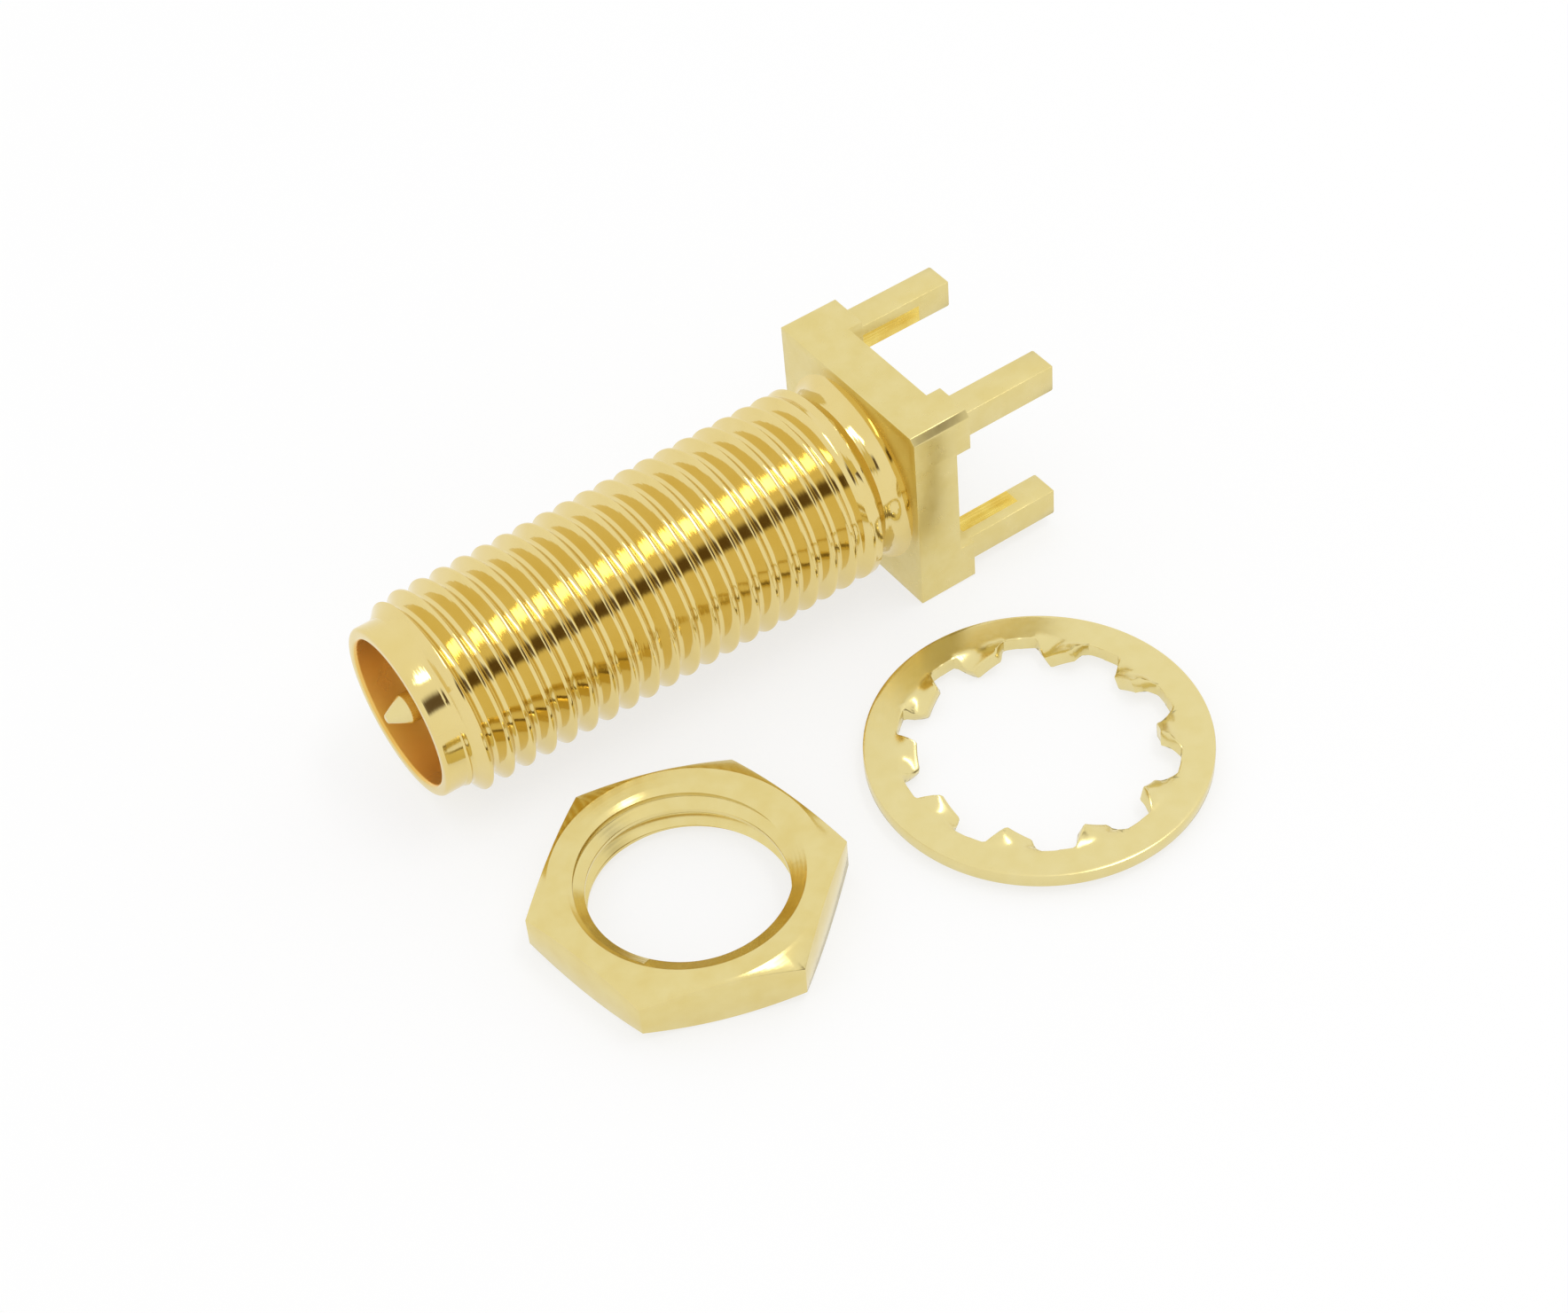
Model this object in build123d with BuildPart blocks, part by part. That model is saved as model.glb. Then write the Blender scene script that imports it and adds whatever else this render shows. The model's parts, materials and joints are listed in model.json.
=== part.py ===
from build123d import *
from math import atan2, cos, radians, sin, tan
import os

os.makedirs("parts", exist_ok=True)

# Thread shared by the barrel and the nut, 1/4-36, right-hand
thread_pitch = 25.4 / 36
thread_radius = 3.12
thread_depth = 0.4
thread_flank = 30
thread_clearance = 0.05
crest_flat = thread_pitch / 8
root_radius = thread_radius - thread_depth
root_flat = thread_pitch - crest_flat - 2 * thread_depth * tan(radians(thread_flank))
groove_overcut = 0.03

# Barrel, along its own axis from the front face
nose_drop = 0.416
nose_length = 0.68
rim_round = 0.12
thread_lead = 0.37
nose_wall = 0.379
socket_depth = 1.95
socket_step = 0.265
neck_drop = 0.08
neck_length = 0.7
neck_round = 0.5
neck_slope = 0.45
groove_runs = 7
turns_per_run = 3
groove_end_inset = 0.55
barrel_length = 16.04
nose_radius = thread_radius - nose_drop
socket_radius = nose_radius - nose_wall
line_radius = socket_radius - socket_step
neck_radius = root_radius - neck_drop
run_length = turns_per_run * thread_pitch
groove_start = barrel_length - groove_end_inset - groove_runs * run_length
first_crest = groove_start + thread_pitch - crest_flat / 2

# Square flange with a pad and a leg at each corner, one corner touched by the turning tool
flange_side = 6.67
flange_thickness = 1.52
flange_turned_radius = 4.7
flange_runout = 0.085
pad_side = 1.41
pad_height = 0.5
leg_pitch = 5.08
leg_side = 0.94
leg_length = 3.38
leg_break = 0.07

# Centre contact and the insulator that holds it
pin_radius = 0.46
pin_reach = 0.35
pin_cone_length = 0.62
pin_flat_radius = 0.125
contact_radius = 0.635
press_clearance = 0.01

# Hex nut lying on the floor
nut_wall = 0.84875
nut_thickness = 1.6
nut_corner_drop = 0.3
nut_face_inset = 0.085
nut_crest_depth = 0.32
nut_mouth_clearance = 0.15
nut_mouth_angle = 30
nut_turn = -20.2
nut_thread_turns = 4
nut_ahead = 3.81
nut_gap = 0.97
nut_flats = 2 * (thread_radius + nut_wall)
nut_face_radius = nut_flats / 2 - nut_face_inset
nut_major_radius = thread_radius + thread_clearance
nut_minor_radius = nut_major_radius - nut_crest_depth

# Lock washer with twisted inner teeth, lying on the floor
washer_thickness = 0.45
washer_clearance = 0.38
washer_rim = 0.96
tooth_length = 0.6
tooth_count = 10
tooth_turn = 5
tooth_twist = -30
tooth_seat = 0.15
tooth_seat_inset = 0.04
tooth_bend = 0.05
tooth_root_width = 1.3
tooth_tip_width = 1.05
washer_nut_gap = 1.5
washer_gap = 1.98
washer_tip_radius = thread_radius + washer_clearance
washer_inner_radius = washer_tip_radius + tooth_length
washer_radius = washer_inner_radius + washer_rim

# Where the pieces lie: the barrel rests on its first crest and the flange's lower front edge
flange_half = flange_side / 2
tilt = atan2(flange_half - thread_radius, barrel_length - first_crest)
tip_height = thread_radius * cos(tilt) - first_crest * sin(tilt)
leg_end = barrel_length + flange_thickness + pad_height + leg_length
nut_reach = nut_flats / 2 / cos(radians(30))
nut_out = flange_half + nut_gap + nut_reach
washer_out = flange_half + washer_gap + washer_radius
washer_ahead = nut_ahead + nut_reach + washer_nut_gap + washer_radius
front_end = nut_ahead - nut_reach * cos(radians(nut_turn))
back_end = leg_end * cos(tilt) + (leg_pitch + leg_side) / 2 * sin(tilt)
tip_x = -(front_end + back_end) / 2
tip_y = (washer_out + washer_radius - flange_half) / 2
tip = Vector(tip_x, tip_y, tip_height)
barrel_direction = Vector(cos(tilt), 0, sin(tilt))
barrel_axis = Axis(tip, barrel_direction)
length_plane = Plane(origin=tip, x_dir=barrel_direction, z_dir=(0, -1, 0))
front_plane = Plane(origin=tip, x_dir=(0, 1, 0), z_dir=barrel_direction)


def cut_thread(start, direction, turns, floor_radius, mouth_radius, floor_width):
    """Cut one run of V groove about the axis that leaves start, narrow at the floor radius."""
    reach = mouth_radius - floor_radius
    floor_half = floor_width / 2
    mouth_half = floor_half + abs(reach) * tan(radians(thread_flank))
    with BuildLine() as path:
        Helix(thread_pitch, thread_pitch * turns, floor_radius, center=start, direction=direction)
    helix = path.line.edges()[0]
    radial = (helix @ 0) - start
    with BuildSketch(Plane(origin=helix @ 0, x_dir=radial, z_dir=helix % 0)) as groove:
        with BuildLine():
            Polyline(
                (0, -floor_half),
                (reach, -mouth_half),
                (reach, mouth_half),
                (0, floor_half),
                close=True,
            )
        make_face()
    sweep(groove.sketch.faces(), path=path.line, is_frenet=True, mode=Mode.SUBTRACT)


# Housing: threaded barrel, flange, pads and legs are one piece
thread_front = nose_length + thread_lead
neck_front = barrel_length - neck_length
flange_back = barrel_length + flange_thickness
pad_back = flange_back + pad_height
with BuildPart() as housing:
    with BuildSketch(front_plane):
        Circle(thread_radius)
    extrude(amount=barrel_length)
    for run in range(groove_runs):
        cut_thread(
            tip + barrel_direction * (groove_start + run * run_length),
            barrel_direction,
            turns_per_run,
            root_radius,
            thread_radius + groove_overcut,
            root_flat,
        )
    with BuildSketch(length_plane) as barrel_profile:
        with BuildLine():
            Polyline(
                (barrel_length, neck_radius + neck_round),
                (barrel_length, line_radius),
                (socket_depth, line_radius),
                (socket_depth, socket_radius),
                (0, socket_radius),
                (0, nose_radius),
                (nose_length, nose_radius),
                (thread_front, thread_radius),
                (neck_front - neck_slope, thread_radius),
                (neck_front, neck_radius),
                (barrel_length - neck_round, neck_radius),
            )
            RadiusArc(
                (barrel_length - neck_round, neck_radius),
                (barrel_length, neck_radius + neck_round),
                neck_round,
            )
        make_face()
        rim = barrel_profile.vertices().group_by(Axis.X)[0]
        fillet(rim, rim_round)
    revolve(axis=barrel_axis, mode=Mode.INTERSECT)
    with BuildSketch(front_plane.offset(barrel_length)):
        Rectangle(flange_side, flange_side)
        with Locations((flange_runout, -flange_runout)):
            Circle(flange_turned_radius, mode=Mode.INTERSECT)
        Circle(line_radius, mode=Mode.SUBTRACT)
    extrude(amount=flange_thickness)
    with BuildSketch(front_plane.offset(flange_back)):
        with GridLocations(flange_side - pad_side, flange_side - pad_side, 2, 2):
            Rectangle(pad_side, pad_side)
        with Locations((flange_runout, -flange_runout)):
            Circle(flange_turned_radius, mode=Mode.INTERSECT)
    extrude(amount=pad_height)
    with BuildSketch(front_plane.offset(pad_back)):
        with GridLocations(leg_pitch, leg_pitch, 2, 2):
            Rectangle(leg_side, leg_side)
    extrude(amount=leg_length)
    leg_ends = housing.faces().group_by(barrel_axis)[-1]
    chamfer(leg_ends.edges(), leg_break)
housing.part.label = "housing"

# Insulator: a sleeve from the floor of the socket to the back of the flange
with BuildPart() as insulator:
    with BuildSketch(length_plane):
        with Locations((socket_depth, contact_radius + press_clearance)):
            Rectangle(
                flange_back - socket_depth,
                line_radius - contact_radius - 2 * press_clearance,
                align=(Align.MIN, Align.MIN),
            )
    revolve(axis=barrel_axis)
insulator.part.label = "insulator"

# Centre contact: pointed pin in the socket, thicker body in the insulator, tail between the legs
with BuildPart() as centre_contact:
    with BuildSketch(length_plane):
        with BuildLine():
            Polyline(
                (-pin_reach, 0),
                (-pin_reach, pin_flat_radius),
                (pin_cone_length - pin_reach, pin_radius),
                (socket_depth, pin_radius),
                (socket_depth, contact_radius),
                (flange_back, contact_radius),
                (flange_back, pin_radius),
                (leg_end - leg_break, pin_radius),
                (leg_end, pin_radius - leg_break),
                (leg_end, 0),
                close=True,
            )
        make_face()
    revolve(axis=barrel_axis)
centre_contact.part.label = "centre_contact"

# Hex nut: chamfered corners, a countersunk mouth at each face, internal thread
nut_centre = Vector(tip_x + nut_ahead, tip_y - nut_out, 0)
mouth_radius = nut_major_radius + nut_mouth_clearance
mouth_depth = (mouth_radius - nut_minor_radius) * tan(radians(nut_mouth_angle))
nut_section = Plane(origin=nut_centre, x_dir=(1, 0, 0), z_dir=(0, -1, 0))
nut_axis = Axis(nut_centre, (0, 0, 1))
nut_thread_start = nut_centre - Vector(0, 0, thread_pitch)
with BuildPart() as hex_nut:
    with BuildSketch(Plane(origin=nut_centre)):
        RegularPolygon(nut_flats / 2, 6, major_radius=False, rotation=nut_turn)
        Circle(nut_minor_radius, mode=Mode.SUBTRACT)
    extrude(amount=nut_thickness)
    cut_thread(
        nut_thread_start,
        Vector(0, 0, 1),
        nut_thread_turns,
        nut_major_radius,
        nut_minor_radius - groove_overcut,
        crest_flat,
    )
    with BuildSketch(nut_section):
        with BuildLine():
            Polyline(
                (mouth_radius, 0),
                (nut_face_radius, 0),
                (nut_reach, nut_corner_drop),
                (nut_reach, nut_thickness - nut_corner_drop),
                (nut_face_radius, nut_thickness),
                (mouth_radius, nut_thickness),
                (nut_minor_radius, nut_thickness - mouth_depth),
                (nut_minor_radius, mouth_depth),
                close=True,
            )
        make_face()
    revolve(axis=nut_axis, mode=Mode.INTERSECT)
hex_nut.part.label = "hex_nut"

# Lock washer: flat ring held off the floor by the twist of its teeth
tooth_drop = tooth_tip_width / 2 * sin(radians(-tooth_twist))
tooth_drop += washer_thickness / 2 * cos(radians(tooth_twist))
washer_centre = Vector(tip_x + washer_ahead, tip_y - washer_out, tooth_drop)
with BuildPart() as lock_washer:
    with BuildSketch(Plane(origin=washer_centre).offset(-washer_thickness / 2)):
        Circle(washer_radius)
        Circle(washer_inner_radius, mode=Mode.SUBTRACT)
    extrude(amount=washer_thickness)
    for tooth in range(tooth_count):
        angle = radians(360 / tooth_count * tooth + tooth_turn)
        outward = Vector(cos(angle), sin(angle), 0)
        across = Vector(-sin(angle), cos(angle), 0)
        twisted = across * cos(radians(tooth_twist)) + Vector(0, 0, sin(radians(tooth_twist)))
        seat = washer_centre + outward * (washer_inner_radius + tooth_seat)
        bend = washer_centre + outward * (washer_inner_radius - tooth_bend)
        end = washer_centre + outward * washer_tip_radius
        with BuildSketch(Plane(seat, x_dir=across, z_dir=-outward)):
            Rectangle(tooth_root_width, washer_thickness - tooth_seat_inset)
        with BuildSketch(Plane(bend, x_dir=across, z_dir=-outward)):
            Rectangle(tooth_root_width, washer_thickness - tooth_seat_inset)
        with BuildSketch(Plane(end, x_dir=twisted, z_dir=-outward)):
            Rectangle(tooth_tip_width, washer_thickness)
        loft(ruled=True)
lock_washer.part.label = "lock_washer"

for piece in (housing, insulator, centre_contact, hex_nut, lock_washer):
    export_step(piece.part, f"parts/{piece.part.label}.step")
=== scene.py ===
import json
import math
import random

import bmesh
import bpy
from mathutils import Matrix, Vector


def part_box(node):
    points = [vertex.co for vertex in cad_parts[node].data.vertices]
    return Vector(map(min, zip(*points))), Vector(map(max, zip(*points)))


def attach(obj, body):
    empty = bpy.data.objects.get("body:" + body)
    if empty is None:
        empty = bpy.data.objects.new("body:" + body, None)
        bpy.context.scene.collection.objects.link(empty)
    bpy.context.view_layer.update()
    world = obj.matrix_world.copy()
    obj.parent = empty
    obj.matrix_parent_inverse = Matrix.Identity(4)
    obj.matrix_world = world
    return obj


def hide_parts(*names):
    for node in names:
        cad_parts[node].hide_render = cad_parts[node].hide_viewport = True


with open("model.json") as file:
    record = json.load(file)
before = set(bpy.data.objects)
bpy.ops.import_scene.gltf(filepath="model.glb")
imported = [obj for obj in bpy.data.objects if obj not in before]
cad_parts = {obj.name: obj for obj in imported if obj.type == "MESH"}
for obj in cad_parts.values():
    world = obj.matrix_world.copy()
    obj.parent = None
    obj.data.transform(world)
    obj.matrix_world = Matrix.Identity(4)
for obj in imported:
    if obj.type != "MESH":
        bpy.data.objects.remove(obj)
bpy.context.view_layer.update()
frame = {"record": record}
mounts = {mount["name"]: mount for mount in frame["record"]["mounts"]}
mm = 0.001  # meshes are shaped in millimetres and scaled once, when they are put in place

# Set-up shared by every piece
stepsRound = 144  # segments round a turned shape
tinyGap = 0.002  # millimetres, the distance under which points are one


def mountPoint(name):
    return Vector(mounts[name]["pos_m"])


def mountAxis(name):
    return Vector(mounts[name]["axis"]).normalized()


def easeBetween(value, low, high):
    share = min(max((value - low) / (high - low), 0), 1)
    return share * share * (3 - 2 * share)


def spinOutline(bm, points, axis, closed=False):
    # points are pairs in the XZ plane, turned once round the axis
    verts = [bm.verts.new((x, 0, z)) for x, z in points]
    edges = [bm.edges.new(pair) for pair in zip(verts, verts[1:])]
    if closed:
        edges.append(bm.edges.new((verts[-1], verts[0])))
    bmesh.ops.spin(bm, geom=verts + edges, cent=(0, 0, 0), axis=axis, angle=math.tau,
                   steps=stepsRound, use_merge=True)
    bmesh.ops.remove_doubles(bm, verts=bm.verts, dist=tinyGap)


def threadRibbon(bm, points, axis, pitch, turns):
    # points are one pitch of thread in the XZ plane, screwed round the axis
    verts = [bm.verts.new((x, 0, z)) for x, z in points]
    edges = [bm.edges.new(pair) for pair in zip(verts, verts[1:])]
    bmesh.ops.spin(bm, geom=verts + edges, cent=(0, 0, 0), axis=axis, angle=math.tau,
                   dvec=Vector(axis) * pitch / stepsRound, steps=stepsRound)
    firstTurn = bm.verts[:] + bm.edges[:] + bm.faces[:]
    for turn in range(1, turns):
        copied = bmesh.ops.duplicate(bm, geom=firstTurn)["geom"]
        verts = [item for item in copied if isinstance(item, bmesh.types.BMVert)]
        bmesh.ops.translate(bm, verts=verts, vec=Vector(axis) * pitch * turn)
    bmesh.ops.remove_doubles(bm, verts=bm.verts, dist=tinyGap)


def sliceAt(bm, x, keep=None):
    # cut across the X axis, and keep one side if told so
    bmesh.ops.bisect_plane(bm, geom=bm.verts[:] + bm.edges[:] + bm.faces[:], dist=tinyGap / 10,
                           plane_co=(x, 0, 0), plane_no=(1, 0, 0),
                           clear_outer=keep == "below", clear_inner=keep == "above")


def openLoopNear(bm, x):
    return [edge for edge in bm.edges if edge.is_boundary
            and all(abs(vert.co.x - x) < tinyGap * 5 for vert in edge.verts)]


def growRings(bm, loop, rings):
    # carry an open ring of edges on through pairs of place along X and radius
    for x, radius in rings:
        grown = bmesh.ops.extrude_edge_only(bm, edges=loop)["geom"]
        loop = [item for item in grown if isinstance(item, bmesh.types.BMEdge)
                and item.is_boundary]
        for vert in {vert for edge in loop for vert in edge.verts}:
            across = Vector((0, vert.co.y, vert.co.z)).normalized() * radius
            vert.co = (x, across.y, across.z)
    return loop


def arcRings(centreX, centreR, radius, start, end, steps):
    # pairs along an arc, its angles in degrees from the X axis
    angles = [math.radians(start + (end - start) * i / steps) for i in range(1, steps + 1)]
    return [(centreX + radius * math.cos(a), centreR + radius * math.sin(a)) for a in angles]


def closeUp(bm):
    bmesh.ops.remove_doubles(bm, verts=bm.verts, dist=tinyGap / 2)
    bmesh.ops.recalc_face_normals(bm, faces=bm.faces)


def objectFrom(bm, name):
    mesh = bpy.data.meshes.new(name)
    bm.to_mesh(mesh)
    bm.free()
    made = bpy.data.objects.new(name, mesh)
    bpy.context.scene.collection.objects.link(made)
    return made


def applyModifiers(made):
    graph = bpy.context.evaluated_depsgraph_get()
    shaped = bpy.data.meshes.new_from_object(made.evaluated_get(graph))
    made.modifiers.clear()
    made.data = shaped


def combine(made, tool, operation):
    # join, cut or keep what is common, with an exact boolean
    boolean = made.modifiers.new(operation, "BOOLEAN")
    boolean.object = tool
    boolean.operation = operation
    boolean.solver = "EXACT"
    applyModifiers(made)
    bpy.data.objects.remove(tool)


def softenEdges(made, width, angle, segments=2):
    bevel = made.modifiers.new("softEdges", "BEVEL")
    bevel.width = width
    bevel.segments = segments
    bevel.limit_method = "ANGLE"
    bevel.angle_limit = math.radians(angle)
    applyModifiers(made)


def putInPlace(made, place, node, material, sharpAngle=24):
    made.data.transform(place)
    made.data.materials.clear()
    made.data.materials.append(material)
    made.data.shade_smooth()
    made.data.set_sharp_from_angle(angle=math.radians(sharpAngle))
    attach(made, "root")
    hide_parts(node)


# Camera: the photograph's viewpoint
cameraView = {
    "target": (0.000998, 0.003551, 0.0),
    "distance": 0.0905,
    "azimuth": -31.61,
    "elevation": 46.107,
    "roll": -5.022,
    "focalPixels": 3397,
    "photoWidth": 1768,
    "sensor": 36,
}


def addCamera(view):
    data = bpy.data.cameras.new("camera")
    data.sensor_width = view["sensor"]
    data.sensor_fit = "HORIZONTAL"
    data.lens = view["sensor"] * view["focalPixels"] / view["photoWidth"]
    data.clip_start = 0.001
    data.clip_end = 10
    camera = bpy.data.objects.new("camera", data)
    bpy.context.scene.collection.objects.link(camera)
    turn = (Matrix.Rotation(math.radians(view["azimuth"]), 4, "Z")
            @ Matrix.Rotation(math.radians(90 - view["elevation"]), 4, "X")
            @ Matrix.Rotation(math.radians(view["roll"]), 4, "Z"))
    away = turn.to_3x3() @ Vector((0, 0, view["distance"]))
    camera.matrix_world = Matrix.Translation(Vector(view["target"]) + away) @ turn
    bpy.context.scene.camera = camera


addCamera(cameraView)
bpy.context.scene.view_settings.view_transform = "Standard"
print("camera set")

# Materials
goldLooks = {
    "barrelGold": {"base": (0.80, 0.65, 0.28), "deep": (0.78, 0.62, 0.24), "roughness": 0.09,
                   "spread": 0.02, "marks": 0.16, "marksPerMm": 14, "mottle": 900},
    "flangeGold": {"base": (0.78, 0.66, 0.30), "deep": (0.75, 0.62, 0.25), "roughness": 0.30,
                   "spread": 0.06, "marks": 0.04, "marksPerMm": 10, "mottle": 1500},
    # milled patches on the legs: their brighter base colour is a painted highlight standing in for the
    # bright stripes of the cut; the strong marks are the cut's tool marks
    "millGoldPaintedHighlight": {"base": (0.92, 0.74, 0.20), "deep": (0.80, 0.56, 0.10), "roughness": 0.25,
                 "spread": 0.05, "marks": 0.9, "marksPerMm": 5, "mottle": 1500},
    "pinGold": {"base": (0.80, 0.68, 0.33), "deep": (0.78, 0.65, 0.29), "roughness": 0.20,
                "spread": 0.03, "marks": 0.08, "marksPerMm": 14, "mottle": 1200},
    "nutGold": {"base": (0.78, 0.66, 0.30), "deep": (0.75, 0.61, 0.24), "roughness": 0.16,
                "spread": 0.03, "marks": 0.10, "marksPerMm": 9, "mottle": 1300},
    "washerGold": {"base": (0.79, 0.68, 0.33), "deep": (0.77, 0.65, 0.29), "roughness": 0.22,
                   "spread": 0.04, "marks": 0.03, "marksPerMm": 6, "mottle": 1500},
}


def newMaterial(name):
    material = bpy.data.materials.new(name)
    material.use_nodes = True
    tree = material.node_tree
    shader = tree.nodes["Principled BSDF"]
    return material, tree, shader


def noiseNode(tree, vector, scale, detail=3.0):
    noise = tree.nodes.new("ShaderNodeTexNoise")
    noise.inputs["Scale"].default_value = scale
    noise.inputs["Detail"].default_value = detail
    tree.links.new(vector, noise.inputs["Vector"])
    return noise.outputs["Fac"]


def rangeNode(tree, value, low, high, fromLow=0.3, fromHigh=0.7):
    node = tree.nodes.new("ShaderNodeMapRange")
    node.inputs["From Min"].default_value = fromLow
    node.inputs["From Max"].default_value = fromHigh
    node.inputs["To Min"].default_value = low
    node.inputs["To Max"].default_value = high
    tree.links.new(value, node.inputs["Value"])
    return node.outputs["Result"]


def blendColours(tree, factor, first, second):
    mix = tree.nodes.new("ShaderNodeMix")
    mix.data_type = "RGBA"
    mix.inputs["A"].default_value = (*first, 1)
    mix.inputs["B"].default_value = (*second, 1)
    tree.links.new(factor, mix.inputs["Factor"])
    return mix.outputs["Result"]


def goldPlating(name, centre=None, squash=(1, 0.02, 0.02)):
    # mottled gold, with fine tool marks round the X axis or round a vertical axis at centre
    look = goldLooks[name]
    material, tree, shader = newMaterial(name)
    place = tree.nodes.new("ShaderNodeTexCoord").outputs["Object"]
    mottle = noiseNode(tree, place, look["mottle"])
    colour = blendColours(tree, rangeNode(tree, mottle, 0, 1), look["base"], look["deep"])
    tree.links.new(colour, shader.inputs["Base Color"])
    low, high = look["roughness"] - look["spread"] / 2, look["roughness"] + look["spread"] / 2
    tree.links.new(rangeNode(tree, noiseNode(tree, place, look["mottle"] * 3), low, high),
                   shader.inputs["Roughness"])
    mapped = tree.nodes.new("ShaderNodeMapping")
    tree.links.new(place, mapped.inputs["Vector"])
    along = mapped.outputs["Vector"]
    if centre is None:
        mapped.inputs["Scale"].default_value = squash
    else:
        mapped.inputs["Location"].default_value = (-centre.x, -centre.y, 0)
        mapped.inputs["Scale"].default_value = (1, 1, 0)
        fromCentre = tree.nodes.new("ShaderNodeVectorMath")
        fromCentre.operation = "LENGTH"
        tree.links.new(along, fromCentre.inputs[0])
        along = tree.nodes.new("ShaderNodeCombineXYZ").outputs["Vector"]
        tree.links.new(fromCentre.outputs["Value"], along.node.inputs["X"])
    marks = noiseNode(tree, along, look["marksPerMm"] / mm, 2.0)
    bump = tree.nodes.new("ShaderNodeBump")
    bump.inputs["Strength"].default_value = look["marks"]
    bump.inputs["Distance"].default_value = 0.02 * mm
    tree.links.new(marks, bump.inputs["Height"])
    tree.links.new(bump.outputs["Normal"], shader.inputs["Normal"])
    shader.inputs["Metallic"].default_value = 1.0
    return material


def boreGoldPaintedReflection():
    # turned wall of the socket, its deep orange base colour a painted reflection of gold mirrored in
    # gold
    material, tree, shader = newMaterial("boreGoldPaintedReflection")
    place = tree.nodes.new("ShaderNodeTexCoord").outputs["Object"]
    cloud = noiseNode(tree, place, 500)
    colour = blendColours(tree, rangeNode(tree, cloud, 0, 1), (0.90, 0.60, 0.18), (0.82, 0.50, 0.11))
    tree.links.new(colour, shader.inputs["Base Color"])
    tree.links.new(rangeNode(tree, cloud, 0.24, 0.32), shader.inputs["Roughness"])
    shader.inputs["Metallic"].default_value = 0.85
    return material


def fluoropolymer():
    # waxy white sleeve
    material, tree, shader = newMaterial("fluoropolymer")
    place = tree.nodes.new("ShaderNodeTexCoord").outputs["Object"]
    cloud = noiseNode(tree, place, 1400)
    colour = blendColours(tree, rangeNode(tree, cloud, 0, 1), (0.86, 0.86, 0.84), (0.80, 0.80, 0.77))
    tree.links.new(colour, shader.inputs["Base Color"])
    tree.links.new(rangeNode(tree, cloud, 0.34, 0.46), shader.inputs["Roughness"])
    bump = tree.nodes.new("ShaderNodeBump")
    bump.inputs["Strength"].default_value = 0.15
    bump.inputs["Distance"].default_value = 0.01 * mm
    tree.links.new(noiseNode(tree, place, 16000), bump.inputs["Height"])
    tree.links.new(bump.outputs["Normal"], shader.inputs["Normal"])
    shader.inputs["Subsurface Weight"].default_value = 0.15
    shader.inputs["Subsurface Radius"].default_value = (0.0004, 0.0004, 0.0004)
    return material


print("materials made")

# Housing: threaded barrel, square flange with pads, and legs
housing = {
    "pitch": 25.4 / 36,
    "crestRadius": 3.12,
    "rootRadius": 2.72,
    "crestWidth": 0.088,
    "crestRound": 0.022,
    "rootRound": 0.05,
    "flankAngle": 30,
    "threadStart": 0.672,
    "turns": 24,
    "noseRadius": 2.704,
    "noseLength": 0.68,
    "noseCut": 0.3,
    "leadLength": 0.37,
    "rimRound": 0.12,
    "socketRadius": 2.325,
    "socketDepth": 1.95,
    "lineRadius": 2.06,
    "length": 16.04,
    "neckLength": 0.7,
    "neckSlope": 0.45,
    "neckRadius": 2.64,
    "neckRound": 0.5,
    "joinPlane": 15.45,
    "boreSplit": 2.4,
    "flangeSide": 6.67,
    "flangeThickness": 1.52,
    "turnedRadius": 4.7,
    "turnedOffset": 0.085,
    "padSide": 1.41,
    "padHeight": 0.5,
    "legPitch": 5.08,
    "legSide": 0.94,
    "legLength": 3.38,
    "legBreak": 0.07,
    "boreReach": 4,
    "leadCurve": 1.3,
    "runOutStart": 14.0,
    "runOutEnd": 15.0,
    "edgeBreak": 0.03,
    "milledLength": 2.2,
    "milledWidth": 0.6,
}
alongBarrel = mountAxis("board_face")
barrelTilt = math.asin(alongBarrel.z)
barrelTip = mountPoint("front_socket") - alongBarrel * housing["socketDepth"] / 2 * mm
lying = (Matrix.Translation(barrelTip) @ Matrix.Rotation(-barrelTilt, 4, "Y")
         @ Matrix.Scale(mm, 4))


def threadOutline(size, crest, root, crestWidth, crestRound, rootRound):
    # one pitch of a V thread as pairs of place along the axis and radius, its corners rounded
    pitch = size["pitch"]
    flank = abs(crest - root) * math.tan(math.radians(size["flankAngle"]))
    rootWidth = pitch - crestWidth - 2 * flank
    corners = [(0, root, 0), (rootWidth / 2, root, rootRound),
               (rootWidth / 2 + flank, crest, crestRound),
               (rootWidth / 2 + flank + crestWidth, crest, crestRound),
               (pitch - rootWidth / 2, root, rootRound), (pitch, root, 0)]
    outline = []
    for i, (x, radius, round_) in enumerate(corners):
        here = Vector((x, radius))
        if round_ == 0:
            outline.append(here)
            continue
        before = Vector(corners[i - 1][:2])
        after = Vector(corners[i + 1][:2])
        first = here + (before - here).normalized() * round_
        last = here + (after - here).normalized() * round_
        for step in range(4):
            t = step / 3
            outline.append(first * (1 - t) ** 2 + here * 2 * t * (1 - t) + last * t ** 2)
    return [tuple(point) for point in outline]


def turnedLimit(size, x):
    # largest radius that the turned blank allows at x
    leadEnd = size["noseLength"] + size["leadLength"]
    neckFront = size["length"] - size["neckLength"]
    slopeFront = neckFront - size["neckSlope"]
    if x <= size["noseLength"]:
        return size["noseRadius"]
    if x < leadEnd:
        share = (x - size["noseLength"]) / size["leadLength"]
        rise = share ** size["leadCurve"]
        return size["noseRadius"] + (size["crestRadius"] - size["noseRadius"]) * rise
    if x <= slopeFront:
        return size["crestRadius"]
    share = min((x - slopeFront) / size["neckSlope"], 1)
    return size["crestRadius"] + (size["neckRadius"] - size["crestRadius"]) * share


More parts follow.
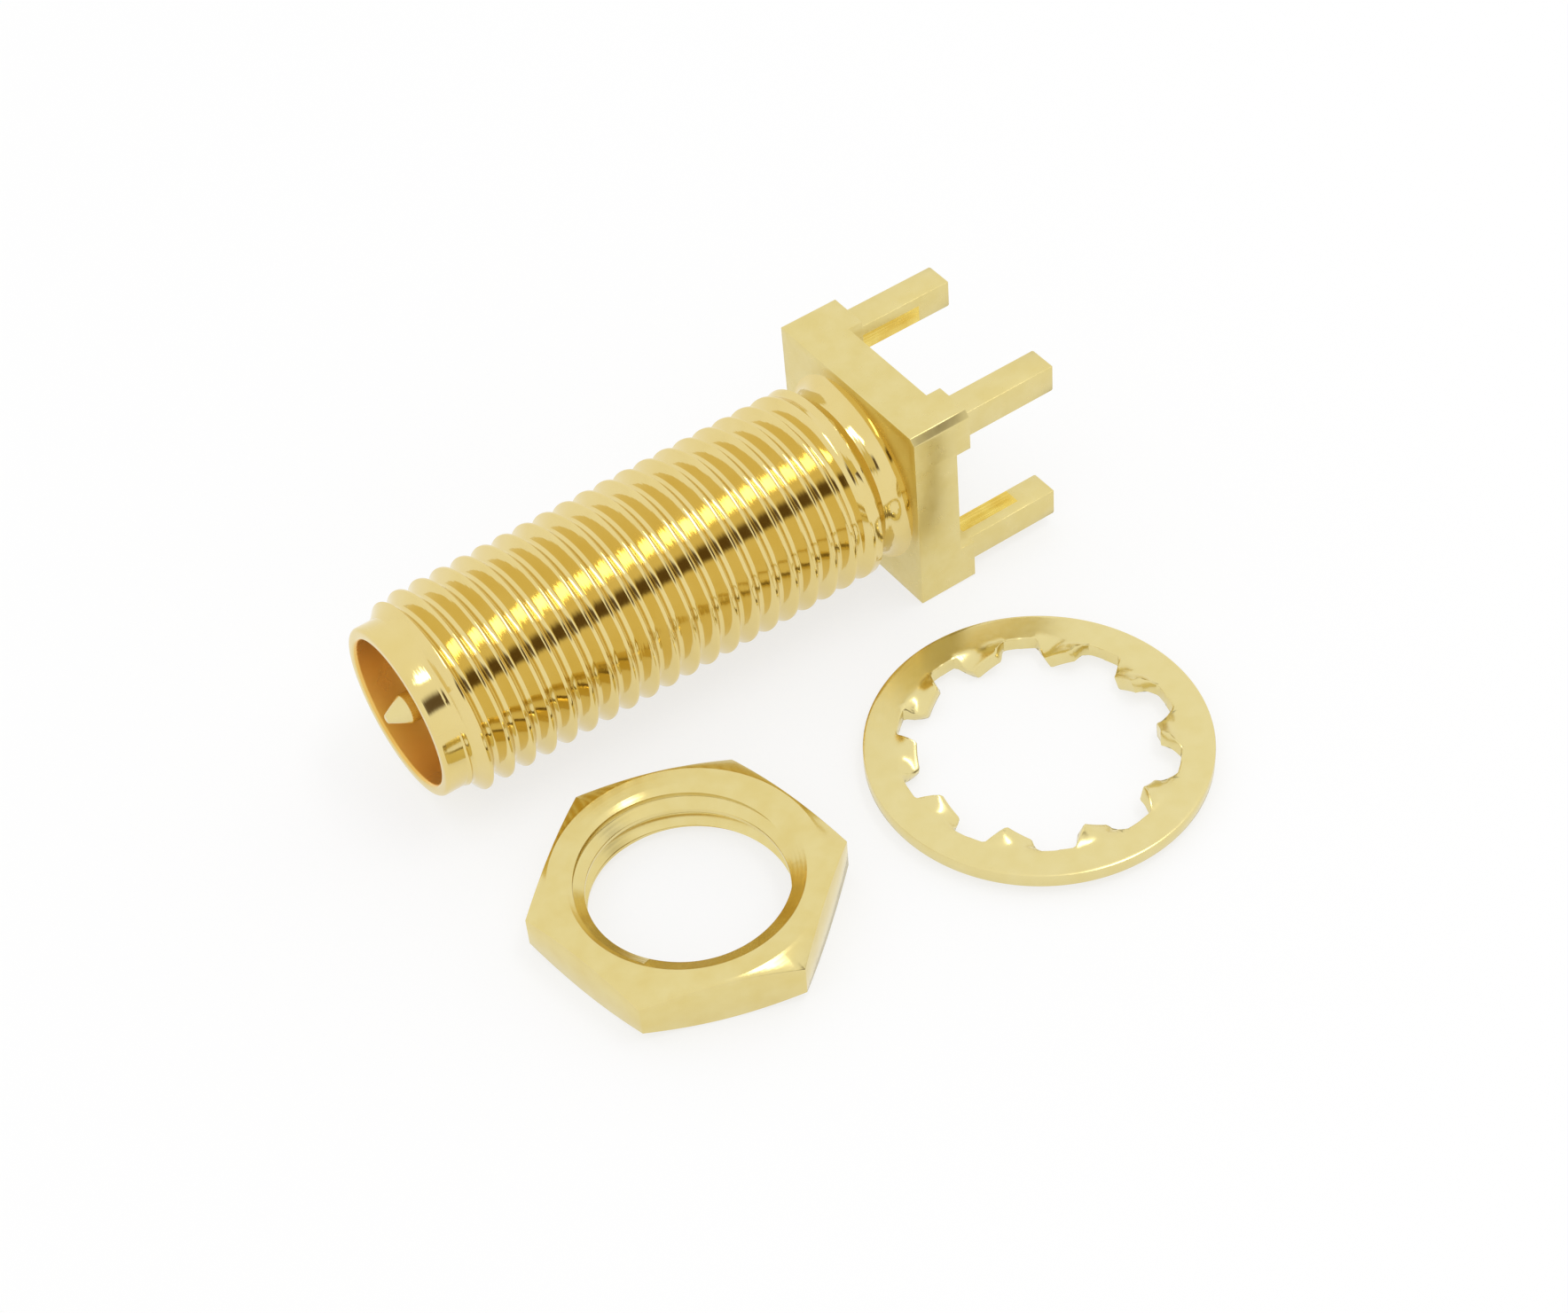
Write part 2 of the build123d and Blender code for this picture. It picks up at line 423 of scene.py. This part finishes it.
def makeBarrel(size):
    bm = bmesh.new()
    outline = threadOutline(size, size["crestRadius"], size["rootRadius"], size["crestWidth"],
                            size["crestRound"], size["rootRound"])
    threadRibbon(bm, outline, (1, 0, 0), size["pitch"], size["turns"])
    bmesh.ops.translate(bm, verts=bm.verts, vec=(size["threadStart"] - 2 * size["pitch"], 0, 0))
    noseCut = size["noseCut"]
    neckFront = size["length"] - size["neckLength"]
    sliceAt(bm, noseCut, keep="above")
    sliceAt(bm, size["joinPlane"], keep="below")
    for x in (size["noseLength"], size["noseLength"] + size["leadLength"] / 2,
              size["noseLength"] + size["leadLength"], neckFront - size["neckSlope"], neckFront):
        sliceAt(bm, x)
    for vert in bm.verts:
        across = Vector((0, vert.co.y, vert.co.z))
        limit = turnedLimit(size, vert.co.x)
        depth = easeBetween(size["runOutEnd"] - vert.co.x, 0,
                            size["runOutEnd"] - size["runOutStart"])  # the groove fades out
        radius = min(size["crestRadius"] - (size["crestRadius"] - across.length) * depth, limit)
        across = across.normalized() * radius
        vert.co = (vert.co.x, across.y, across.z)
    rim = size["rimRound"]
    outer, inner = size["noseRadius"], size["socketRadius"]
    frontRings = [(rim, outer)]
    frontRings += arcRings(rim, outer - rim, rim, 90, 180, 5)
    frontRings += [(0, inner + rim)]
    frontRings += arcRings(rim, inner + rim, rim, 180, 270, 5)
    frontRings += [(size["socketDepth"], inner), (size["socketDepth"], size["lineRadius"]),
                   (size["joinPlane"], size["lineRadius"])]
    growRings(bm, openLoopNear(bm, noseCut), frontRings)
    return bm


def extrudeBack(bm, rule, distance):
    # push the faces that a rule picks along X
    picked = [face for face in bm.faces if rule(face)]
    grown = bmesh.ops.extrude_face_region(bm, geom=picked)["geom"]
    verts = [item for item in grown if isinstance(item, bmesh.types.BMVert)]
    bmesh.ops.translate(bm, verts=verts, vec=(distance, 0, 0))
    bmesh.ops.delete(bm, geom=picked, context="FACES_ONLY")


def makeFlange(size):
    half = size["flangeSide"] / 2
    padInner = half - size["padSide"]
    legInner = (size["legPitch"] - size["legSide"]) / 2
    legOuter = (size["legPitch"] + size["legSide"]) / 2
    back = size["length"] + size["flangeThickness"]
    padBack = back + size["padHeight"]
    legEnd = padBack + size["legLength"]
    bm = bmesh.new()
    bmesh.ops.create_grid(bm, x_segments=1, y_segments=1, size=half,
                          matrix=Matrix.Rotation(math.radians(90), 4, "Y"))
    for line in (padInner, legInner, legOuter):
        for side in (-1, 1):
            for normal in ((0, 1, 0), (0, 0, 1)):
                bmesh.ops.bisect_plane(bm, geom=bm.verts[:] + bm.edges[:] + bm.faces[:],
                                       dist=tinyGap / 10, plane_co=Vector(normal) * line * side,
                                       plane_no=normal)
    bmesh.ops.translate(bm, verts=bm.verts, vec=(size["length"], 0, 0))
    grown = bmesh.ops.extrude_face_region(bm, geom=bm.faces[:])["geom"]
    verts = [item for item in grown if isinstance(item, bmesh.types.BMVert)]
    bmesh.ops.translate(bm, verts=verts, vec=(size["flangeThickness"], 0, 0))

    def inBand(face, x, low, high):
        centre = face.calc_center_median()
        return (abs(centre.x - x) < tinyGap and low < abs(centre.y) < high
                and low < abs(centre.z) < high)

    extrudeBack(bm, lambda face: inBand(face, back, padInner, half), size["padHeight"])
    extrudeBack(bm, lambda face: inBand(face, padBack, legInner, legOuter), size["legLength"])
    closeUp(bm)
    ends = [edge for edge in bm.edges if edge.calc_face_angle(0) > 1
            and all(vert.co.x > legEnd - tinyGap for vert in edge.verts)]
    bmesh.ops.bevel(bm, geom=ends, offset=size["legBreak"], affect="EDGES", segments=2,
                    profile=0.5, material=-1)
    cuts = [((padBack + size["milledLength"], 0, 0), (1, 0, 0))]
    for axis in ((0, 1, 0), (0, 0, 1)):
        cuts += [(Vector(axis) * side * (legInner + size["milledWidth"]), axis) for side in (-1, 1)]
    for point, normal in cuts:
        legs = [face for face in bm.faces if face.calc_center_median().x > padBack]
        geom = {item for face in legs for item in (*face.verts, *face.edges)} | set(legs)
        bmesh.ops.bisect_plane(bm, geom=list(geom), dist=tinyGap / 10, plane_co=point,
                               plane_no=normal)
    made = objectFrom(bm, "flange")
    turned = bmesh.new()
    bmesh.ops.create_cone(turned, cap_ends=True, segments=288, radius1=size["turnedRadius"],
                          radius2=size["turnedRadius"], depth=40,
                          matrix=Matrix.Translation((legEnd, size["turnedOffset"],
                                                     -size["turnedOffset"]))
                          @ Matrix.Rotation(math.radians(90), 4, "Y"))
    combine(made, objectFrom(turned, "turnedCorner"), "INTERSECT")
    softenEdges(made, size["edgeBreak"], 30)
    return made


def makeRear(size):
    # flange, pads and legs with the foot of the neck, bored through
    neckEnd = size["length"] - size["neckRound"]
    footRadius = size["neckRadius"] + size["neckRound"]
    rod = bmesh.new()
    outline = [(size["joinPlane"], 0), (size["joinPlane"], size["neckRadius"]),
               (neckEnd, size["neckRadius"])]
    outline += arcRings(neckEnd, footRadius, size["neckRound"], -90, 0, 10)
    outline += [(size["length"] + size["flangeThickness"] / 3, footRadius),
                (size["length"] + size["flangeThickness"] / 3, 0)]
    spinOutline(rod, outline, (1, 0, 0))
    closeUp(rod)
    made = makeFlange(size)
    combine(made, objectFrom(rod, "neckFoot"), "UNION")
    boreEnd = size["length"] + size["boreReach"]
    bore = bmesh.new()
    spinOutline(bore, [(size["joinPlane"] - 1, 0), (size["joinPlane"] - 1, size["lineRadius"]),
                       (boreEnd, size["lineRadius"]), (boreEnd, 0)],
                (1, 0, 0))
    closeUp(bore)
    combine(made, objectFrom(bore, "bore"), "DIFFERENCE")
    return made


def makeHousing(size):
    # barrel and rear meet where their rings lie on the same plane
    bm = makeBarrel(size)
    rear = makeRear(size)
    bm.from_mesh(rear.data)
    bpy.data.objects.remove(rear)
    joined = [face for face in bm.faces
              if all(abs(vert.co.x - size["joinPlane"]) < tinyGap for vert in face.verts)]
    bmesh.ops.delete(bm, geom=joined, context="FACES_ONLY")
    slice_ = math.tau / stepsRound
    for vert in bm.verts:
        if abs(vert.co.x - size["joinPlane"]) < tinyGap:
            around = round(math.atan2(vert.co.z, vert.co.y) / slice_) * slice_
            radius = size["neckRadius"] if vert.co.yz.length > size["boreSplit"] else size["lineRadius"]
            vert.co = (size["joinPlane"], radius * math.cos(around), radius * math.sin(around))
    closeUp(bm)
    return objectFrom(bm, "connectorHousing")


housingPiece = makeHousing(housing)
putInPlace(housingPiece, lying, "housing", goldPlating("barrelGold"))
for material in (goldPlating("flangeGold"), boreGoldPaintedReflection(),
                 goldPlating("millGoldPaintedHighlight", squash=(0.02, 1, 1))):
    housingPiece.data.materials.append(material)


def housingFinish(size, centre, normal):
    # slot of a face, from its middle and normal along the barrel's own axis
    padBack = size["length"] + size["flangeThickness"] + size["padHeight"]
    inner = (size["legPitch"] - size["legSide"]) / 2
    # the socket wall takes the gold whose deep orange is a painted reflection
    if centre.x < size["socketDepth"] and centre.yz.length < size["socketRadius"] + 0.05:
        return 2
    # the milled patches on the legs take the gold with the painted highlight
    if padBack < centre.x < padBack + size["milledLength"]:
        for flat, other in ((1, 2), (2, 1)):
            if (abs(normal[flat]) > 0.9 and normal[flat] * centre[flat] < 0
                    and abs(centre[other]) < inner + size["milledWidth"]):
                return 3
    return 1 if centre.x > size["length"] - 0.005 else 0


toBarrel = lying.inverted()
turnToBarrel = lying.to_3x3().normalized().inverted()
for polygon in housingPiece.data.polygons:
    polygon.material_index = housingFinish(housing, toBarrel @ polygon.center,
                                           turnToBarrel @ polygon.normal)
print("housing made:", len(housingPiece.data.polygons), "faces")

# Centre contact and its insulator
contact = {
    "reach": 0.35,
    "flatRadius": 0.125,
    "coneLength": 0.62,
    "pinRadius": 0.46,
    "bodyRadius": 0.635,
    "tailBreak": 0.07,
    "edgeRound": 0.02,
}
sleeve = {"clearance": 0.01, "edgeBreak": 0.03}


def makeContact(size, host):
    flangeBack = host["length"] + host["flangeThickness"]
    legEnd = flangeBack + host["padHeight"] + host["legLength"]
    coneEnd = size["coneLength"] - size["reach"]
    soft = size["edgeRound"]
    outline = [(-size["reach"], 0), (-size["reach"], size["flatRadius"] - soft),
               (-size["reach"] + soft, size["flatRadius"] + soft / 2),
               (coneEnd - soft, size["pinRadius"] - soft / 2), (coneEnd + soft, size["pinRadius"]),
               (host["socketDepth"], size["pinRadius"]), (host["socketDepth"], size["bodyRadius"]),
               (flangeBack, size["bodyRadius"]), (flangeBack, size["pinRadius"]),
               (legEnd - size["tailBreak"], size["pinRadius"]),
               (legEnd, size["pinRadius"] - size["tailBreak"]), (legEnd, 0)]
    bm = bmesh.new()
    spinOutline(bm, outline, (1, 0, 0))
    closeUp(bm)
    return objectFrom(bm, "centreContact")


def makeSleeve(size, host, core):
    outer = host["lineRadius"] - size["clearance"]
    inner = core["bodyRadius"] + size["clearance"]
    front, back = host["socketDepth"], host["length"] + host["flangeThickness"]
    soft = size["edgeBreak"]
    bm = bmesh.new()
    spinOutline(bm, [(front, inner), (front, outer - soft), (front + soft, outer),
                     (back - soft, outer), (back, outer - soft), (back, inner)], (1, 0, 0),
                closed=True)
    closeUp(bm)
    return objectFrom(bm, "insulatorSleeve")


contactPiece = makeContact(contact, housing)
putInPlace(contactPiece, lying, "centre_contact", goldPlating("pinGold"), 25)
sleevePiece = makeSleeve(sleeve, housing, contact)
putInPlace(sleevePiece, lying, "insulator", fluoropolymer(), 30)
print("contact and insulator made")

# Hex nut: chamfered corners, countersunk mouths and an internal thread
nut = {
    "flats": 7.9375,
    "thickness": 1.6,
    "turn": -20.2,
    "faceRadius": 3.884,
    "cornerDrop": 0.3,
    "minorRadius": 2.85,
    "majorRadius": 3.17,
    "mouthRadius": 3.32,
    "mouthAngle": 30,
    "crestWidth": 0.12,
    "crestRound": 0.03,
    "rootRound": 0.03,
    "turns": 5,
    "edgeBreak": 0.045,
}


def makeNutBlank(size):
    reach = size["flats"] / 2 / math.cos(math.radians(30))
    bm = bmesh.new()
    turn = Matrix.Rotation(math.radians(size["turn"] - 90), 4, "Z")  # the first corner is at 90
    bmesh.ops.create_circle(bm, cap_ends=True, segments=6, radius=reach, matrix=turn)
    grown = bmesh.ops.extrude_face_region(bm, geom=bm.faces[:])["geom"]
    verts = [item for item in grown if isinstance(item, bmesh.types.BMVert)]
    bmesh.ops.translate(bm, verts=verts, vec=(0, 0, size["thickness"]))
    closeUp(bm)
    made = objectFrom(bm, "hexNut")
    slope = size["cornerDrop"] / (reach - size["faceRadius"])
    past = reach + 0.3
    drop = (past - size["faceRadius"]) * slope
    top = size["thickness"]
    lens = bmesh.new()
    spinOutline(lens, [(0, 0), (size["faceRadius"], 0), (past, drop), (past, top - drop),
                       (size["faceRadius"], top), (0, top)], (0, 0, 1))
    closeUp(lens)
    combine(made, objectFrom(lens, "turnedLens"), "INTERSECT")
    softenEdges(made, size["edgeBreak"], 35)
    return made


def makeNutHole(size):
    # a rod with the nut's thread, flared where it leaves each face
    bm = bmesh.new()
    outline = threadOutline(housing, size["minorRadius"], size["majorRadius"], size["crestWidth"],
                            size["crestRound"], size["rootRound"])
    turned = [(radius, along) for along, radius in outline]
    threadRibbon(bm, turned, (0, 0, 1), housing["pitch"], size["turns"])
    bmesh.ops.translate(bm, verts=bm.verts, vec=(0, 0, -housing["pitch"] * 1.3))
    for height, keep in ((-0.25, "above"), (size["thickness"] + 0.25, "below")):
        bmesh.ops.bisect_plane(bm, geom=bm.verts[:] + bm.edges[:] + bm.faces[:],
                               dist=tinyGap / 10, plane_co=(0, 0, height), plane_no=(0, 0, 1),
                               clear_outer=keep == "below", clear_inner=keep == "above")
        rim = [edge for edge in bm.edges if edge.is_boundary
               and all(abs(vert.co.z - height) < tinyGap for vert in edge.verts)]
        bmesh.ops.contextual_create(bm, geom=rim)
    closeUp(bm)
    rod = objectFrom(bm, "nutThread")
    slope = math.tan(math.radians(size["mouthAngle"]))
    depth = (size["mouthRadius"] - size["minorRadius"]) * slope
    spread = 0.2
    top = size["thickness"]
    wide = size["mouthRadius"] + spread / slope
    cone = bmesh.new()
    spinOutline(cone, [(0, -spread), (wide, -spread), (size["minorRadius"] - 0.1, depth + 0.1 * slope),
                       (size["minorRadius"] - 0.1, top - depth - 0.1 * slope), (wide, top + spread),
                       (0, top + spread)], (0, 0, 1))
    closeUp(cone)
    combine(rod, objectFrom(cone, "nutMouths"), "UNION")
    return rod


def makeNut(size):
    made = makeNutBlank(size)
    combine(made, makeNutHole(size), "DIFFERENCE")
    return made


nutBase = mountPoint("nut_thread")
nutBase.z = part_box("hex_nut")[0][2]
nutPiece = makeNut(nut)
putInPlace(nutPiece, Matrix.Translation(nutBase) @ Matrix.Scale(mm, 4), "hex_nut",
           goldPlating("nutGold", nutBase), 21)
print("nut made:", len(nutPiece.data.polygons), "faces")

# Lock washer: a flat stamping whose inner teeth are twisted out of its plane
washer = {
    "radius": 5.06,
    "gapRadius": 4.1,
    "tipRadius": 3.5,
    "thickness": 0.45,
    "teeth": 10,
    "toothTurn": 5.0,
    "toothHalfAngle": 9.0,
    "sideAngle": 2.8,
    "twist": -30,
    "bendStart": 4.15,
    "bendLength": 0.5,
    "edgeBreak": 0.05,
    "stepsPerTooth": 30,
    "rows": 12,
}


def makeWasher(size):
    random.seed(7)
    sector = 360 / size["teeth"]
    bm = bmesh.new()
    step = (size["radius"] - size["tipRadius"]) / size["rows"]
    verts = [bm.verts.new((size["tipRadius"] + step * i, 0, -size["thickness"] / 2))
             for i in range(size["rows"] + 1)]
    edges = [bm.edges.new(pair) for pair in zip(verts, verts[1:])]
    bmesh.ops.spin(bm, geom=verts + edges, cent=(0, 0, 0), axis=(0, 0, 1), angle=math.tau,
                   steps=size["teeth"] * size["stepsPerTooth"], use_merge=True)

    def placeInTooth(vert):
        angle = math.degrees(math.atan2(vert.co.y, vert.co.x)) - size["toothTurn"]
        tooth = round(angle / sector)
        return tooth % size["teeth"], angle - tooth * sector

    for vert in bm.verts:
        angle = placeInTooth(vert)[1]
        radius = vert.co.xy.length
        edge = size["toothHalfAngle"]
        inner = size["tipRadius"] + (size["gapRadius"] - size["tipRadius"]) * easeBetween(
            abs(angle), edge - size["sideAngle"], edge + size["sideAngle"])
        share = (size["radius"] - radius) / (size["radius"] - size["tipRadius"])
        vert.co.xy = vert.co.xy.normalized() * (size["radius"] - share * (size["radius"] - inner))
    solid = bmesh.ops.extrude_face_region(bm, geom=bm.faces[:])["geom"]
    verts = [item for item in solid if isinstance(item, bmesh.types.BMVert)]
    bmesh.ops.translate(bm, verts=verts, vec=(0, 0, size["thickness"]))
    closeUp(bm)
    rims = [edge for edge in bm.edges if edge.calc_face_angle(0) > 1]
    bmesh.ops.bevel(bm, geom=rims, offset=size["edgeBreak"], affect="EDGES", segments=2,
                    profile=0.5, material=-1)
    twists = [size["twist"] + random.uniform(0, 3) for _ in range(size["teeth"])]
    for vert in bm.verts:
        tooth, angle = placeInTooth(vert)
        radius = vert.co.xy.length
        bend = easeBetween(size["bendStart"] - radius, 0, size["bendLength"])
        turn = math.radians(twists[tooth]) * bend
        centre = math.atan2(vert.co.y, vert.co.x) - math.radians(angle)
        outward = Vector((math.cos(centre), math.sin(centre), 0))
        across = Vector((-math.sin(centre), math.cos(centre), 0))
        side, height = vert.co.dot(across), vert.co.z
        vert.co = (outward * vert.co.dot(outward)
                   + across * (side * math.cos(turn) - height * math.sin(turn))
                   + Vector((0, 0, side * math.sin(turn) + height * math.cos(turn))))
    return objectFrom(bm, "lockWasher")


washerLow, washerHigh = (Vector(corner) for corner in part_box("lock_washer"))
washerPiece = makeWasher(washer)
washerMiddle = (washerLow + washerHigh) / 2
putInPlace(washerPiece, Matrix.Translation(washerMiddle) @ Matrix.Scale(mm, 4), "lock_washer",
           goldPlating("washerGold", washerMiddle), 28)
print("washer made:", len(washerPiece.data.polygons), "faces")

# Floor and light
studio = {
    "floorSize": 2.0,
    "floorColour": (0.93, 0.93, 0.93),
    "floorShow": 0.72,
    "skyStrength": 1.0,
    "lampPlace": (0.085, -0.04, 0.26),
    "lampSize": (0.14, 0.045),
    "lampPower": 0.09,
    "zones": [
        ((0.13, 0.09, 0.055), {"X": (-0.05, 0.12, 0.62, 0.85), "Y": (-1.0, -0.88, -0.5, -0.3),
                              "Z": (0.42, 0.52, 0.66, 0.78)}),
    ],
}


def whiteShare(tree):
    # one for camera, glossy and transmitted rays
    path = tree.nodes.new("ShaderNodeLightPath")
    both = path.outputs["Is Camera Ray"]
    for extra in ("Is Glossy Ray", "Is Transmission Ray"):
        joined = tree.nodes.new("ShaderNodeMath")
        joined.operation = "MAXIMUM"
        tree.links.new(both, joined.inputs[0])
        tree.links.new(path.outputs[extra], joined.inputs[1])
        both = joined.outputs[0]
    return both


def addFloor(look):
    bm = bmesh.new()
    bmesh.ops.create_grid(bm, x_segments=1, y_segments=1, size=look["floorSize"] / 2)
    floor = objectFrom(bm, "floor")
    floor.data.transform(Matrix.Translation((0, 0, -0.00001)))
    material, tree, shader = newMaterial("paleFloor")
    shader.inputs["Base Color"].default_value = (*look["floorColour"], 1)
    shader.inputs["Roughness"].default_value = 0.6
    glow = tree.nodes.new("ShaderNodeEmission")
    glow.inputs["Color"].default_value = (1, 1, 1, 1)
    share = tree.nodes.new("ShaderNodeMath")
    share.operation = "MULTIPLY"
    share.inputs[1].default_value = look["floorShow"]
    tree.links.new(whiteShare(tree), share.inputs[0])
    mix = tree.nodes.new("ShaderNodeMixShader")
    tree.links.new(share.outputs[0], mix.inputs["Fac"])
    tree.links.new(shader.outputs["BSDF"], mix.inputs[1])
    tree.links.new(glow.outputs["Emission"], mix.inputs[2])
    tree.links.new(mix.outputs["Shader"], tree.nodes["Material Output"].inputs["Surface"])
    floor.data.materials.append(material)


def zoneShare(tree, split, bounds):
    # one inside the bounds, each of which eases in between two values and out between two more
    share = None
    for axis, (start, full, fade, end) in bounds.items():
        for low, high, first, last in ((start, full, 0, 1), (fade, end, 1, 0)):
            edge = rangeNode(tree, split.outputs[axis], first, last, low, high)
            edge.node.interpolation_type = "SMOOTHSTEP"
            if share is None:
                share = edge
                continue
            both = tree.nodes.new("ShaderNodeMath")
            both.operation = "MULTIPLY"
            tree.links.new(share, both.inputs[0])
            tree.links.new(edge, both.inputs[1])
            share = both.outputs[0]
    return share


def addSky(look):
    # white all round, with a darker zone that polished metal mirrors
    world = bpy.data.worlds.new("studio")
    world.use_nodes = True
    bpy.context.scene.world = world
    tree = world.node_tree
    background = tree.nodes["Background"]
    background.inputs["Strength"].default_value = look["skyStrength"]
    background.inputs["Color"].default_value = (1, 1, 1, 1)
    split = tree.nodes.new("ShaderNodeSeparateXYZ")
    tree.links.new(tree.nodes.new("ShaderNodeTexCoord").outputs["Generated"],
                   split.inputs["Vector"])
    colour = None
    for shade, bounds in look["zones"]:
        mix = tree.nodes.new("ShaderNodeMix")
        mix.data_type = "RGBA"
        mix.inputs["A"].default_value = (1, 1, 1, 1)
        mix.inputs["B"].default_value = (*shade, 1)
        tree.links.new(zoneShare(tree, split, bounds), mix.inputs["Factor"])
        if colour is not None:
            tree.links.new(colour, mix.inputs["A"])
        colour = mix.outputs["Result"]
    tree.links.new(colour, background.inputs["Color"])


def addLamp(name, place, size, power):
    data = bpy.data.lights.new(name, "AREA")
    data.shape = "RECTANGLE"
    data.size, data.size_y = size
    data.energy = power
    lamp = bpy.data.objects.new(name, data)
    bpy.context.scene.collection.objects.link(lamp)
    lamp.location = place
    lamp.rotation_euler = (-Vector(place)).to_track_quat("-Z", "Y").to_euler()
    lamp.visible_camera = False


addFloor(studio)
addSky(studio)
addLamp("keySoftbox", studio["lampPlace"], studio["lampSize"], studio["lampPower"])
print("studio made")
